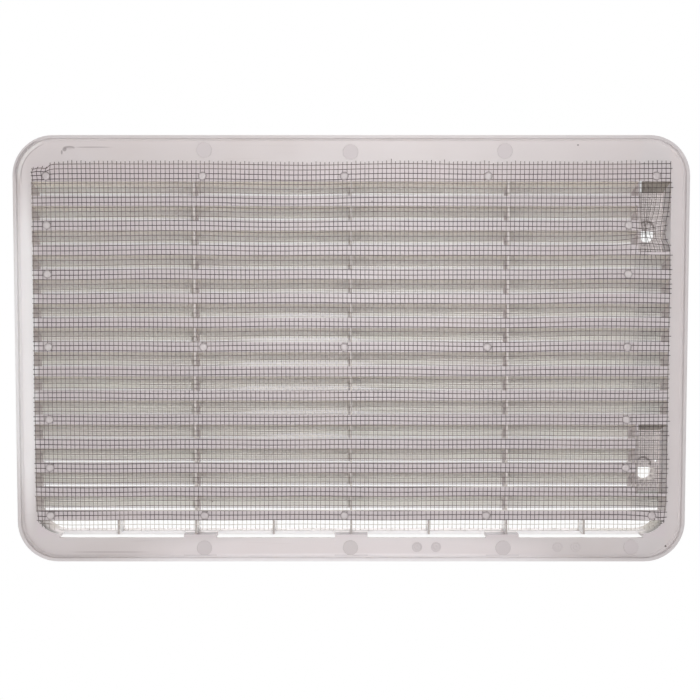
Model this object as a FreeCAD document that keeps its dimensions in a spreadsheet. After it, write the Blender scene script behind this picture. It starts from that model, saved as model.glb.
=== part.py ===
import FreeCAD, Part
import math
import os

import Sketcher

# A ventilation grille of the kind that closes a wall opening on a caravan or
# motor home. It is seen from behind in its own frame: +X to the right, +Z up,
# and +Y outwards through the louvres. The origin is the middle of the panel,
# in the plane of the rim's back edge, which is the plane that meets the wall.
# The panel is one moulding. The insect screen is a woven wire cloth, held on
# the panel's back by stakes whose ends were melted into round heads.

DOC = FreeCAD.newDocument("ventilation_grille")

SIZES = {
    # The panel's outline, its rim and its plate.
    "panel_width": 482.0,
    "panel_height": 306.0,
    "panel_corner": 29.0,
    "rim_depth": 5.0,
    "rim_wall": 2.2,
    "rim_root": 1.4,
    "plate_wall": 2.5,
    "plate_bevel": 1.0,
    # The louvred field and the shallow pan that stands out round it.
    "field_width": 458.4,
    "field_top": 121.1,
    "field_corner": 18.0,
    "side_wall": 2.0,
    "sill_wall": 2.6,
    "window_height": 10.5,
    # One louvre: an upright web at the back, and below it a hood.
    "louvre_count": 14,
    "louvre_pitch": 17.5,
    "web_height": 7.0,
    "web_wall": 2.0,
    "hood_depth": 20.0,
    "hood_drop": 6.6,
    "hood_wall": 1.8,
    "lip_lap": 2.1,
    # The upright ribs that tie the hoods together.
    "rib_spacing": 113.0,
    "rib_wall": 1.4,
    "rib_setback": 1.0,
    # The two latch pockets at the right-hand side.
    "pocket_width": 21.2,
    "pocket_wall": 2.0,
    "pocket_rows": 3,
    "pocket_step": 10,
    "latch_inset": 11.7,
    "latch_drop": 35.0,
    "latch_width": 10.2,
    "latch_height": 15.4,
    "latch_recess": 0.9,
    "latch_flat": 0.6,
    "pinhole_size": 1.8,
    "pinhole_inset": 2.4,
    "pinhole_rise": 5.2,
    # The slots in the sill that hook over the frame's tabs.
    "slot_land": 23.7,
    "slot_inner": 86.3,
    "slot_outer": 90.7,
    "slot_depth": 11.3,
    # The stakes that hold the screen.
    "stake_post": 2.6,
    "stake_head": 5.6,
    "stake_rise": 1.1,
    "stake_inset": 10.9,
    "stake_pocket": 7.0,
    "stake_past_left_rib": 6.5,
    "stake_past_middle_rib": -5.0,
    "stake_past_right_rib": -15.0,
    # The screen.
    "screen_width": 460.0,
    "screen_top": 136.0,
    "screen_tail": 5.1,
    "screen_corner": 12.0,
    "cloth_wall": 0.4,
    "wire_relief": 0.2,
    "wire_width": 0.5,
    "cloth_bar": 6.4,
    "weft_spread": 5.0,
    "warp_spread": 3.2,
    "stake_clearance": 0.3,
    "head_clearance": 0.05,
    # How far a wall runs into its neighbour in the moulding, so that they join.
    "weld": 0.3,
}

# Places that the sizes above give, written as formulas on the size table.
FIELD_RIGHT = "Sizes.field_width / 2"
FRONT = "(Sizes.rim_depth + Sizes.hood_depth + Sizes.hood_wall)"
LIP_BACK = "(Sizes.rim_depth + Sizes.hood_depth)"
PLATE_FRONT = "(Sizes.rim_depth + Sizes.plate_wall)"
SLOPE = "(Sizes.hood_drop / Sizes.hood_depth)"
LAST_WEB = "(Sizes.field_top - Sizes.louvre_count * Sizes.louvre_pitch)"
SILL_TOP = f"({LAST_WEB} - Sizes.window_height)"
SILL_BOTTOM = f"({SILL_TOP} - Sizes.sill_wall)"
GAP_HEIGHT = "(Sizes.louvre_pitch - Sizes.web_height)"
ROOF_AT_FRONT = f"({SLOPE} * (Sizes.hood_depth + Sizes.hood_wall))"
POCKET_LEFT = f"({FIELD_RIGHT} - Sizes.pocket_width)"
POCKET_DROP = "(Sizes.pocket_rows * Sizes.louvre_pitch - Sizes.hood_wall)"
LATCH_X = f"({FIELD_RIGHT} - Sizes.latch_inset)"
LATCH_Z = "(Sizes.field_top - Sizes.latch_drop)"
LATCH_STRAIGHT = "((Sizes.latch_height - Sizes.latch_width) / 2)"
POCKET_SPACING = "Sizes.pocket_step * Sizes.louvre_pitch"
CLOTH_FRONT = "(Sizes.rim_depth - Sizes.wire_relief)"
CLOTH_BACK = f"({CLOTH_FRONT} - Sizes.cloth_wall)"
SCREEN_BACK = f"({CLOTH_BACK} - Sizes.wire_relief)"
SCREEN_BOTTOM = f"({LAST_WEB} - Sizes.screen_tail)"
HEAD_SEAT = f"({SCREEN_BACK} - Sizes.head_clearance)"
BAY = "(Sizes.rib_spacing / 2)"

# The stakes stand in groups that repeat down the panel. Row 0 is the plate above
# the first hood, and any other row is the web of that number. Each group gives
# its rows, its columns, how many rows it moves down at a repeat, and how often
# it is there.
STAKE_LEFT = f"(-{FIELD_RIGHT} + Sizes.stake_inset)"
STAKE_RIGHT = f"({FIELD_RIGHT} - Sizes.stake_inset)"
STAKE_BY_POCKET = f"({POCKET_LEFT} - Sizes.pocket_wall - Sizes.stake_pocket)"
STAKES_BY_RIBS = (
    "(-Sizes.rib_spacing + Sizes.stake_past_left_rib)",
    "Sizes.stake_past_middle_rib",
    "(Sizes.rib_spacing + Sizes.stake_past_right_rib)",
)
STAKE_GROUPS = {
    "full_row": ((0,), (STAKE_LEFT,) + STAKES_BY_RIBS, 7, 3),
    "corner": ((0,), (STAKE_RIGHT,), 14, 2),
    "short_row": ((2, 4), (STAKE_LEFT, STAKE_BY_POCKET), 8, 2),
    "middle": ((7,), (STAKE_BY_POCKET,), 0, 1),
}


def size_table():
    """Fill the spreadsheet with the sizes, one row and one alias for each."""
    sheet = DOC.addObject("Spreadsheet::Sheet", "Sizes")
    for row, (name, number) in enumerate(SIZES.items(), start=1):
        sheet.set(f"A{row}", name)
        sheet.set(f"B{row}", str(number))
        sheet.setAlias(f"B{row}", name)
    DOC.recompute()
    return sheet


SHEET = size_table()


def size(formula):
    """The number that a formula on the size table gives now."""
    return float(SHEET.evalExpression(formula))


def origin_feature(body, role):
    """One of a body's own origin planes or axes, found by its role."""
    for feature in body.Origin.OriginFeatures:
        if feature.Role == role:
            return feature
    raise ValueError(role)


def sketch_on(body, name, role, offset):
    """A sketch on an origin plane, moved along the plane's normal by a formula."""
    sketch = body.newObject("Sketcher::SketchObject", name)
    sketch.AttachmentSupport = (origin_feature(body, role), "")
    sketch.MapMode = "FlatFace"
    sketch.setExpression("AttachmentOffset.Base.z", offset)
    return sketch


def facing_sketch(body, name, depth):
    """A sketch that faces the wall side, at a distance y = depth from the rim."""
    return sketch_on(body, name, "XZ_Plane", f"-({depth})")


def section_sketch(body, name, place):
    """A sketch of a section across the louvres, at x = place."""
    return sketch_on(body, name, "YZ_Plane", place)


def fix_point(sketch, edge, end, across, up):
    """Hold one end of an edge at two distances from the sketch's origin."""
    for kind, formula in (("DistanceX", across), ("DistanceY", up)):
        constraint = Sketcher.Constraint(kind, -1, 1, edge, end, size(formula))
        index = sketch.addConstraint(constraint)
        sketch.setExpression(f"Constraints[{index}]", formula)


def add_polygon(sketch, corners):
    """A closed outline of straight edges, each corner held by two formulas."""
    places = [(size(across), size(up)) for across, up in corners]
    points = [FreeCAD.Vector(across, up, 0) for across, up in places]
    lines = [Part.LineSegment(start, end) for start, end in zip(points, points[1:] + points[:1])]
    edges = list(sketch.addGeometry(lines, False))
    joints = []
    for edge, following in zip(edges, edges[1:] + edges[:1]):
        joints.append(Sketcher.Constraint("Coincident", edge, 2, following, 1))
    for edge, (across, up) in zip(edges, places):
        joints.append(Sketcher.Constraint("DistanceX", -1, 1, edge, 1, across))
        joints.append(Sketcher.Constraint("DistanceY", -1, 1, edge, 1, up))
    added = sketch.addConstraint(joints)[len(edges):]
    formulas = [formula for corner in corners for formula in corner]
    for index, formula in zip(added, formulas):
        sketch.setExpression(f"Constraints[{index}]", formula)


def add_rectangle(sketch, left, right, bottom, top):
    """A rectangle between four formulas."""
    add_polygon(sketch, [(left, bottom), (right, bottom), (right, top), (left, top)])


def add_circle(sketch, across, up, diameter):
    """A circle whose centre and diameter are formulas."""
    centre = FreeCAD.Vector(size(across), size(up), 0)
    shape = Part.Circle(centre, FreeCAD.Vector(0, 0, 1), size(diameter) / 2)
    edge = sketch.addGeometry(shape, False)
    fix_point(sketch, edge, 3, across, up)
    index = sketch.addConstraint(Sketcher.Constraint("Diameter", edge, size(diameter)))
    sketch.setExpression(f"Constraints[{index}]", diameter)


def add_eight_sided(sketch, across, up, diameter):
    """A regular outline of eight sides, flat side up, that stands for a small circle."""
    corners = []
    for corner in range(8):
        angle = math.radians(45 * corner + 22.5)
        corners.append((
            f"{across} + ({diameter}) / 2 * {math.cos(angle):.6f}",
            f"{up} + ({diameter}) / 2 * {math.sin(angle):.6f}",
        ))
    add_polygon(sketch, corners)


def checked(feature, grows):
    """Recompute, and make sure that the feature changed the solid as it should."""
    DOC.recompute()
    before = feature.BaseFeature.Shape.Volume if feature.BaseFeature else 0.0
    change = feature.Shape.Volume - before
    print(f"{feature.Name}: {change:+.1f} mm3")
    if (change > 0) != grows or abs(change) < 1e-3:
        raise ValueError(f"{feature.Name} changed the solid by {change}")
    return feature


def pad(body, name, sketch, length, outwards=True, midplane=False, taper=None):
    """Raise a sketch into material. Outwards is +Y on a facing sketch, +X on a section."""
    feature = body.newObject("PartDesign::Pad", name)
    feature.Profile = sketch
    feature.setExpression("Length", length)
    facing = origin_feature(body, "XZ_Plane") in [item[0] for item in sketch.AttachmentSupport]
    feature.Reversed = outwards if facing else not outwards
    if midplane:
        feature.SideType = "Symmetric"
    if taper:
        feature.setExpression("TaperAngle", taper)
    return checked(feature, grows=True)


def pocket(body, name, sketch, length):
    """Sink a sketch into the material: towards +Y from a facing sketch, +X from a section."""
    feature = body.newObject("PartDesign::Pocket", name)
    feature.Profile = sketch
    feature.setExpression("Length", length)
    facing = origin_feature(body, "XZ_Plane") in [item[0] for item in sketch.AttachmentSupport]
    feature.Reversed = not facing
    return checked(feature, grows=False)


def repeat(body, name, originals, role, spacing, count, backwards=False, grows=True, down=None):
    """Repeat features along an axis, and in rows below each other if down gives pitch and rows."""
    feature = body.newObject("PartDesign::LinearPattern", name)
    feature.Originals = originals
    feature.Direction = (origin_feature(body, role), [""])
    feature.Mode = "Spacing"
    feature.setExpression("Offset", spacing)
    feature.setExpression("Occurrences", count)
    feature.Reversed = backwards
    if down:
        feature.Direction2 = (origin_feature(body, "Z_Axis"), [""])
        feature.Mode2 = "Spacing"
        feature.setExpression("Offset2", down[0])
        feature.setExpression("Occurrences2", down[1])
        feature.Reversed2 = True
        DOC.recompute()
        feature.Spacings2 = [-1.0] * (int(size(down[1])) - 1)
    body.Tip = feature
    return checked(feature, grows)


def ease_edges(body, name, kind, reach, chosen):
    """Fillet or chamfer the edges of the last feature that the given test picks out."""
    base = body.Tip
    names = [f"Edge{number}" for number, edge in enumerate(base.Shape.Edges, start=1) if chosen(edge)]
    if not names:
        raise ValueError(f"{name} finds no edge")
    feature = body.newObject(f"PartDesign::{kind}", name)
    feature.Base = (base, names)
    feature.setExpression("Radius" if kind == "Fillet" else "Size", reach)
    DOC.recompute()
    return feature


def lies_between(edge, low, high):
    """Whether an edge's box lies between two corners, with a little room."""
    room = 0.01
    box = edge.BoundBox
    pairs = ((box.XMin, box.XMax), (box.YMin, box.YMax), (box.ZMin, box.ZMax))
    return all(low[i] - room <= pair[0] and pair[1] <= high[i] + room for i, pair in enumerate(pairs))


def upright_corner(edge, half_width, low, high):
    """Whether an edge runs along Y at one of the outline's corners."""
    box = edge.BoundBox
    if box.YLength < 1.0 or box.XLength > 0.01 or box.ZLength > 0.01:
        return False
    at_side = abs(abs(box.Center.x) - half_width) < 0.01
    at_end = min(abs(box.Center.z - low), abs(box.Center.z - high)) < 0.01
    return at_side and at_end


def build_tray(body):
    """The plate with its rim: a rounded block that is hollowed from behind."""
    half_height = "Sizes.panel_height / 2"
    half_width = "Sizes.panel_width / 2"
    sketch = facing_sketch(body, "plate_outline", "0")
    add_rectangle(sketch, f"-{half_width}", half_width, f"-{half_height}", half_height)
    pad(body, "plate_block", sketch, PLATE_FRONT)
    limits = (size(half_width), -size(half_height), size(half_height))
    ease_edges(body, "plate_corners", "Fillet", "Sizes.panel_corner",
               lambda edge: upright_corner(edge, *limits))

    inner_width = f"({half_width} - Sizes.rim_wall)"
    inner_height = f"({half_height} - Sizes.rim_wall)"
    sketch = facing_sketch(body, "rim_outline", "0")
    add_rounded_outline(sketch, inner_width, f"-{inner_height}", inner_height,
                        "Sizes.panel_corner - Sizes.rim_wall", all_corners=True)
    pocket(body, "rim_hollow", sketch, "Sizes.rim_depth")


def add_rounded_outline(sketch, half_width, bottom, top, radius, all_corners):
    """An outline with its lower corners rounded, and its upper ones too if asked."""
    reach = size(radius)
    right, low, high = size(half_width), size(bottom), size(top)
    vector = FreeCAD.Vector
    across_arc = vector(0, 0, 1)
    quarter = math.pi / 2

    def line(start, end):
        return sketch.addGeometry(Part.LineSegment(vector(*start, 0), vector(*end, 0)), False)

    def arc(centre_x, centre_y, first_quarter):
        circle = Part.Circle(vector(centre_x, centre_y, 0), across_arc, reach)
        turn = Part.ArcOfCircle(circle, first_quarter * quarter, (first_quarter + 1) * quarter)
        return sketch.addGeometry(turn, False)

    top_reach = reach if all_corners else 0.0
    bottom_edge = line((-right + reach, low), (right - reach, low))
    lower_right = arc(right - reach, low + reach, 3)
    right_edge = line((right, low + reach), (right, high - top_reach))
    loop = [bottom_edge, lower_right, right_edge]
    if all_corners:
        loop.append(arc(right - reach, high - reach, 0))
    top_edge = line((right - top_reach, high), (-right + top_reach, high))
    loop.append(top_edge)
    if all_corners:
        loop.append(arc(-right + reach, high - reach, 1))
    left_edge = line((-right, high - top_reach), (-right, low + reach))
    loop.append(left_edge)
    loop.append(arc(-right + reach, low + reach, 2))

    arcs = [edge for edge in loop if isinstance(sketch.Geometry[edge], Part.ArcOfCircle)]
    for edge, following in zip(loop, loop[1:] + loop[:1]):
        kind = "Tangent" if edge in arcs or following in arcs else "Coincident"
        sketch.addConstraint(Sketcher.Constraint(kind, edge, 2, following, 1))
    for edge in (right_edge, left_edge):
        sketch.addConstraint(Sketcher.Constraint("Vertical", edge))
    for edge in (bottom_edge, top_edge):
        sketch.addConstraint(Sketcher.Constraint("Horizontal", edge))
    for edge in arcs[1:]:
        sketch.addConstraint(Sketcher.Constraint("Equal", arcs[0], edge))
    held = [
        ("Radius", (arcs[0],), radius),
        ("DistanceX", (-1, 1, right_edge, 1), half_width),
        ("DistanceX", (-1, 1, left_edge, 1), f"-({half_width})"),
        ("DistanceY", (-1, 1, bottom_edge, 1), bottom),
        ("DistanceY", (-1, 1, top_edge, 1), top),
    ]
    for kind, places, formula in held:
        index = sketch.addConstraint(Sketcher.Constraint(kind, *places, size(formula)))
        sketch.setExpression(f"Constraints[{index}]", formula)


def build_pan(body):
    """The pan's side walls and sill, which stand out from the plate round the field."""
    sketch = facing_sketch(body, "pan_outline", "Sizes.rim_depth")
    add_rounded_outline(sketch, f"({FIELD_RIGHT} + Sizes.side_wall)", SILL_BOTTOM, "Sizes.field_top",
                        "Sizes.field_corner + Sizes.side_wall", all_corners=False)
    pad(body, "pan_block", sketch, "Sizes.hood_depth + Sizes.hood_wall")
    sketch = facing_sketch(body, "field_outline", "Sizes.rim_depth")
    add_rounded_outline(sketch, FIELD_RIGHT, SILL_TOP, "Sizes.field_top",
                        "Sizes.field_corner", all_corners=False)
    pocket(body, "field", sketch, "Sizes.hood_depth + Sizes.hood_wall")


def build_louvres(body):
    """The bank of louvres: one section that is a web with a hood below it, repeated."""
    start = f"-({FIELD_RIGHT} + Sizes.weld)"
    length = "Sizes.field_width + 2 * Sizes.weld"
    gap_top = "Sizes.field_top"
    web_top = f"({gap_top} + Sizes.web_height)"
    web_front = "(Sizes.rim_depth + Sizes.web_wall)"
    lip_end = f"({gap_top} - {GAP_HEIGHT} - Sizes.lip_lap)"
    sketch = section_sketch(body, "louvre_section", start)
    add_polygon(sketch, [
        ("Sizes.rim_depth", gap_top),
        (LIP_BACK, f"{gap_top} - Sizes.hood_drop"),
        (LIP_BACK, lip_end),
        (FRONT, lip_end),
        (FRONT, f"{gap_top} + Sizes.hood_wall - {ROOF_AT_FRONT}"),
        (web_front, f"{gap_top} + Sizes.hood_wall - {SLOPE} * Sizes.web_wall"),
        (web_front, web_top),
        ("Sizes.rim_depth", web_top),
    ])
    louvre = pad(body, "louvre", sketch, length)
    repeat(body, "louvre_bank", [louvre], "Z_Axis", "Sizes.louvre_pitch", "Sizes.louvre_count", backwards=True)

    sketch = section_sketch(body, "last_web_section", start)
    add_rectangle(sketch, "Sizes.rim_depth", web_front, LAST_WEB, f"{LAST_WEB} + Sizes.web_height")
    pad(body, "last_web", sketch, length)


def build_brow(body):
    """The slope at the top of the side walls, in line with the first hood's roof."""
    clear = "Sizes.hood_depth"
    sketch = section_sketch(body, "brow_section", "-Sizes.panel_width / 2")
    roof = "Sizes.field_top + Sizes.hood_wall"
    add_polygon(sketch, [
        (PLATE_FRONT, f"{roof} - {SLOPE} * Sizes.plate_wall"),
        (f"{FRONT} + {clear}", f"{roof} - {ROOF_AT_FRONT} - {SLOPE} * {clear}"),
        (f"{FRONT} + {clear}", f"{roof} + {clear}"),
        (PLATE_FRONT, f"{roof} + {clear}"),
    ])
    pocket(body, "brow", sketch, "Sizes.panel_width")


def build_ribs(body):
    """Three full ribs behind the lips, and four short ones across the window at the sill."""
    back = "(Sizes.rim_depth + Sizes.rib_setback)"
    front = f"({LIP_BACK} + Sizes.weld)"
    sill = f"({SILL_TOP} - Sizes.weld)"
    sketch = section_sketch(body, "rib_section", "-Sizes.rib_spacing")
    add_polygon(sketch, [
        (back, sill),
        (front, sill),
        (front, "Sizes.field_top - Sizes.hood_drop"),
        (back, f"Sizes.field_top - {SLOPE} * Sizes.rib_setback + Sizes.weld"),
    ])
    rib = pad(body, "rib", sketch, "Sizes.rib_wall", midplane=True)
    repeat(body, "ribs", [rib], "X_Axis", "Sizes.rib_spacing", "3")

    sketch = section_sketch(body, "short_rib_section", "-1.5 * Sizes.rib_spacing")
    web_edge = f"({LAST_WEB} + Sizes.weld)"
    add_rectangle(sketch, back, f"{LIP_BACK}", sill, web_edge)
    short_rib = pad(body, "short_rib", sketch, "Sizes.rib_wall", midplane=True)
    repeat(body, "short_ribs", [short_rib], "X_Axis", "Sizes.rib_spacing", "4")


def build_latch_pockets(body):
    """Two pockets that take the latches: webs and lips give way to one flat plate."""
    gap_top = "Sizes.field_top"
    floor = f"({gap_top} - {POCKET_DROP})"
    sketch = section_sketch(body, "pocket_block_section", f"{POCKET_LEFT} - Sizes.pocket_wall")
    add_polygon(sketch, [
        ("Sizes.rim_depth", gap_top),
        ("Sizes.rim_depth", floor),
        (FRONT, f"{floor} - {ROOF_AT_FRONT}"),
        (FRONT, f"{gap_top} - {ROOF_AT_FRONT}"),
    ])
    block = pad(body, "pocket_block", sketch, "Sizes.pocket_width + Sizes.pocket_wall + Sizes.weld")

    sketch = section_sketch(body, "pocket_hollow_section", POCKET_LEFT)
    add_polygon(sketch, [
        ("Sizes.rim_depth", gap_top),
        ("Sizes.rim_depth", floor),
        (LIP_BACK, f"{floor} - Sizes.hood_drop"),
        (LIP_BACK, f"{gap_top} - Sizes.hood_drop"),
    ])
    hollow = pocket(body, "pocket_hollow", sketch, "Sizes.pocket_width")
    repeat(body, "latch_pockets", [block, hollow], "Z_Axis", POCKET_SPACING, "2", backwards=True)

    sketch = facing_sketch(body, "latch_recess_outline", LIP_BACK)
    add_latch_outline(sketch, LATCH_STRAIGHT, upper_round=True)
    recess = pocket(body, "latch_recess", sketch, "Sizes.latch_recess")
    sketch = facing_sketch(body, "latch_hole_outline", LIP_BACK)
    add_latch_outline(sketch, "Sizes.latch_flat", upper_round=False)
    hole = pocket(body, "latch_hole", sketch, "2 * Sizes.hood_wall")
    repeat(body, "latch_holes", [recess, hole], "Z_Axis", POCKET_SPACING, "2", backwards=True, grows=False)

    sketch = facing_sketch(body, "pinhole_outline", LIP_BACK)
    add_circle(sketch, f"{FIELD_RIGHT} - Sizes.pinhole_inset",
               f"{LATCH_Z} - {POCKET_SPACING} + Sizes.pinhole_rise", "Sizes.pinhole_size")
    pocket(body, "pinhole", sketch, "2 * Sizes.hood_wall")


def add_latch_outline(sketch, upper, upper_round):
    """The upright opening of a latch: a round lower end, and a round or flat upper end."""
    vector = FreeCAD.Vector
    x, z = size(LATCH_X), size(LATCH_Z)
    reach = size("Sizes.latch_width") / 2
    low = z - size(LATCH_STRAIGHT)
    high = z + size(upper)
    lower_circle = Part.Circle(vector(x, low, 0), vector(0, 0, 1), reach)
    lower_end = sketch.addGeometry(Part.ArcOfCircle(lower_circle, math.pi, 2 * math.pi), False)
    right = sketch.addGeometry(Part.LineSegment(vector(x + reach, low, 0), vector(x + reach, high, 0)), False)
    if upper_round:
        upper_circle = Part.Circle(vector(x, high, 0), vector(0, 0, 1), reach)
        upper_end = sketch.addGeometry(Part.ArcOfCircle(upper_circle, 0, math.pi), False)
    else:
        flat = Part.LineSegment(vector(x + reach, high, 0), vector(x - reach, high, 0))
        upper_end = sketch.addGeometry(flat, False)
    left = sketch.addGeometry(Part.LineSegment(vector(x - reach, high, 0), vector(x - reach, low, 0)), False)

    upper_joint = "Tangent" if upper_round else "Coincident"
    joints = [
        ("Tangent", lower_end, 2, right, 1),
        (upper_joint, right, 2, upper_end, 1),
        (upper_joint, upper_end, 2, left, 1),
        ("Tangent", left, 2, lower_end, 1),
    ]
    for joint in joints:
        sketch.addConstraint(Sketcher.Constraint(*joint))
    sketch.addConstraint(Sketcher.Constraint("Vertical", right))
    if not upper_round:
        sketch.addConstraint(Sketcher.Constraint("Horizontal", upper_end))
    index = sketch.addConstraint(Sketcher.Constraint("Radius", lower_end, reach))
    sketch.setExpression(f"Constraints[{index}]", "Sizes.latch_width / 2")
    fix_point(sketch, lower_end, 3, LATCH_X, f"{LATCH_Z} - {LATCH_STRAIGHT}")
    index = sketch.addConstraint(Sketcher.Constraint("DistanceY", -1, 1, right, 2, high))
    sketch.setExpression(f"Constraints[{index}]", f"{LATCH_Z} + {upper}")


def build_sill_slots(body):
    """Four slots in the sill's back edge, two on each side of the middle."""
    first = "(Sizes.slot_land / 2)"
    second = f"({first} + Sizes.slot_inner + Sizes.slot_land)"
    sketch = facing_sketch(body, "slot_outline", "Sizes.rim_depth")
    for start, width in ((first, "Sizes.slot_inner"), (second, "Sizes.slot_outer")):
        add_rectangle(sketch, start, f"{start} + {width}", SILL_BOTTOM, SILL_TOP)
    slots = pocket(body, "slots", sketch, "Sizes.slot_depth")
    mirrored = body.newObject("PartDesign::Mirrored", "slots_both_sides")
    mirrored.Originals = [slots]
    mirrored.MirrorPlane = (origin_feature(body, "YZ_Plane"), [""])
    body.Tip = mirrored
    checked(mirrored, grows=False)


def bevel_rim(body):
    """The bevel at the rim's root inside, and the one at the plate's front edge."""
    half_width = size("Sizes.panel_width / 2")
    half_height = size("Sizes.panel_height / 2")
    wall = size("Sizes.rim_wall")

    def on_outline(edge, depth, inset):
        low = (inset - half_width, depth, inset - half_height)
        high = (half_width - inset, depth, half_height - inset)
        return lies_between(edge, low, high)

    root = size("Sizes.rim_depth")
    ease_edges(body, "rim_root_bevel", "Chamfer", "Sizes.rim_root",
               lambda edge: on_outline(edge, root, wall))
    front = size(PLATE_FRONT)
    ease_edges(body, "plate_front_bevel", "Chamfer", "Sizes.plate_bevel",
               lambda edge: on_outline(edge, front, 0))


def stake_outlines(body, group, part, depth, diameter):
    """A sketch with the outline of one part of the stakes at every place of a group."""
    rows, columns = STAKE_GROUPS[group][:2]
    sketch = facing_sketch(body, f"{group}_{part}_outline", depth)
    for row in rows:
        height = f"(Sizes.field_top - {row} * Sizes.louvre_pitch + Sizes.web_height / 2)"
        for column in columns:
            add_eight_sided(sketch, column, height, diameter)
    return sketch


def repeat_stakes(body, group, part, originals, grows):
    """Repeat the features of a group of stakes down the panel."""
    step, count = STAKE_GROUPS[group][2:]
    if count > 1:
        repeat(body, f"{group}_{part}_repeat", originals, "Z_Axis", f"{step} * Sizes.louvre_pitch",
               str(count), backwards=True, grows=grows)


def build_stakes(body):
    """The stakes: posts through the screen, with heads that were melted over it."""
    for group in STAKE_GROUPS:
        sketch = stake_outlines(body, group, "posts", "Sizes.rim_depth", "Sizes.stake_post")
        posts = pad(body, f"{group}_posts", sketch, f"Sizes.rim_depth - {HEAD_SEAT}", outwards=False)
        sketch = stake_outlines(body, group, "heads", HEAD_SEAT, "Sizes.stake_head")
        heads = pad(body, f"{group}_heads", sketch, "Sizes.stake_rise", outwards=False, taper="-45")
        repeat_stakes(body, group, "stakes", [posts, heads], grows=True)


def build_panel():
    """The whole moulding."""
    body = DOC.addObject("PartDesign::Body", "louvre_panel")
    body.Label = "louvre_panel"
    build_tray(body)
    bevel_rim(body)
    build_pan(body)
    build_sill_slots(body)
    build_louvres(body)
    build_brow(body)
    build_ribs(body)
    build_latch_pockets(body)
    build_stakes(body)
    return body


def build_screen():
    """The insect screen, as a thin cloth with gaps in bays and raised lines of wire."""
    body = DOC.addObject("PartDesign::Body", "insect_screen")
    body.Label = "insect_screen"
    half_width = "Sizes.screen_width / 2"
    sketch = facing_sketch(body, "cloth_outline", CLOTH_BACK)
    add_rounded_outline(sketch, half_width, SCREEN_BOTTOM, "Sizes.screen_top",
                        "Sizes.screen_corner", all_corners=False)
    pad(body, "cloth", sketch, "Sizes.cloth_wall")

    sketch = facing_sketch(body, "weft_lines", CLOTH_FRONT)
    band = "(Sizes.field_top + Sizes.web_height / 2)"
    for side in ("-", "+"):
        line = f"({band} {side} Sizes.weft_spread / 2)"
        add_rectangle(sketch, f"-{half_width}", half_width,
                      f"{line} - Sizes.wire_width / 2", f"{line} + Sizes.wire_width / 2")
    weft = pad(body, "weft", sketch, "Sizes.wire_relief")
    repeat(body, "weft_bank", [weft], "Z_Axis", "Sizes.louvre_pitch", "Sizes.louvre_count + 1", backwards=True)

    sketch = facing_sketch(body, "warp_lines", CLOTH_BACK)
    first_bar = f"(-4 * {BAY})"
    for side in ("-", "+"):
        line = f"({first_bar} {side} Sizes.warp_spread / 2)"
        add_rectangle(sketch, f"{line} - Sizes.wire_width / 2", f"{line} + Sizes.wire_width / 2",
                      f"{SCREEN_BOTTOM} + Sizes.screen_corner", "Sizes.screen_top")
    warp = pad(body, "warp", sketch, "Sizes.wire_relief", outwards=False)
    repeat(body, "warp_bank", [warp], "X_Axis", BAY, "9")

    sketch = facing_sketch(body, "gap_outline", CLOTH_BACK)
    add_rectangle(sketch, f"{first_bar} + Sizes.cloth_bar / 2", f"{first_bar} + {BAY} - Sizes.cloth_bar / 2",
                  f"Sizes.field_top - {GAP_HEIGHT}", "Sizes.field_top")
    gap = pocket(body, "gap", sketch, "Sizes.cloth_wall")
    repeat(body, "gap_rows", [gap], "X_Axis", BAY, "8", grows=False,
           down=("Sizes.louvre_pitch", "Sizes.louvre_count"))

    for group in STAKE_GROUPS:
        diameter = "(Sizes.stake_post + 2 * Sizes.stake_clearance)"
        sketch = stake_outlines(body, group, "holes", CLOTH_BACK, diameter)
        holes = pocket(body, f"{group}_holes", sketch, "Sizes.cloth_wall")
        repeat_stakes(body, group, "holes", [holes], grows=False)
    return body


def export(bodies):
    """Check every object and write each piece to its own file."""
    DOC.recompute()
    for item in DOC.Objects:
        if "Invalid" in item.State or "Error" in item.State:
            raise ValueError(f"{item.Name} is {item.State}")
    os.makedirs("parts", exist_ok=True)
    for body in bodies:
        shape = body.Shape
        if shape.isNull() or not shape.isValid():
            raise ValueError(f"{body.Label} has no valid shape")
        box = shape.BoundBox
        print(f"{body.Label}: {len(shape.Solids)} solid, {shape.Volume:.0f} mm3, {len(shape.Faces)} faces, "
              f"x {box.XMin:.2f} {box.XMax:.2f}, y {box.YMin:.2f} {box.YMax:.2f}, z {box.ZMin:.2f} {box.ZMax:.2f}")
        shape.exportStep(f"parts/{body.Label}.step")


export([build_panel(), build_screen()])
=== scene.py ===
# %% [markdown]
# # A ventilation grille, seen from behind
#
# The object is the louvred panel that closes a vent in a wall. We look at its back: a white moulded tray
# with fourteen hoods, and over them a woven wire cloth that keeps insects out. The moulding comes ready
# from the CAD frame, so what is left to make is what a mould, a loom and some years of weather add: the
# wires themselves, the melted heads that hold them, and the dirt. Painted light and painted shade are laid
# on with the dirt.

import math

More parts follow.
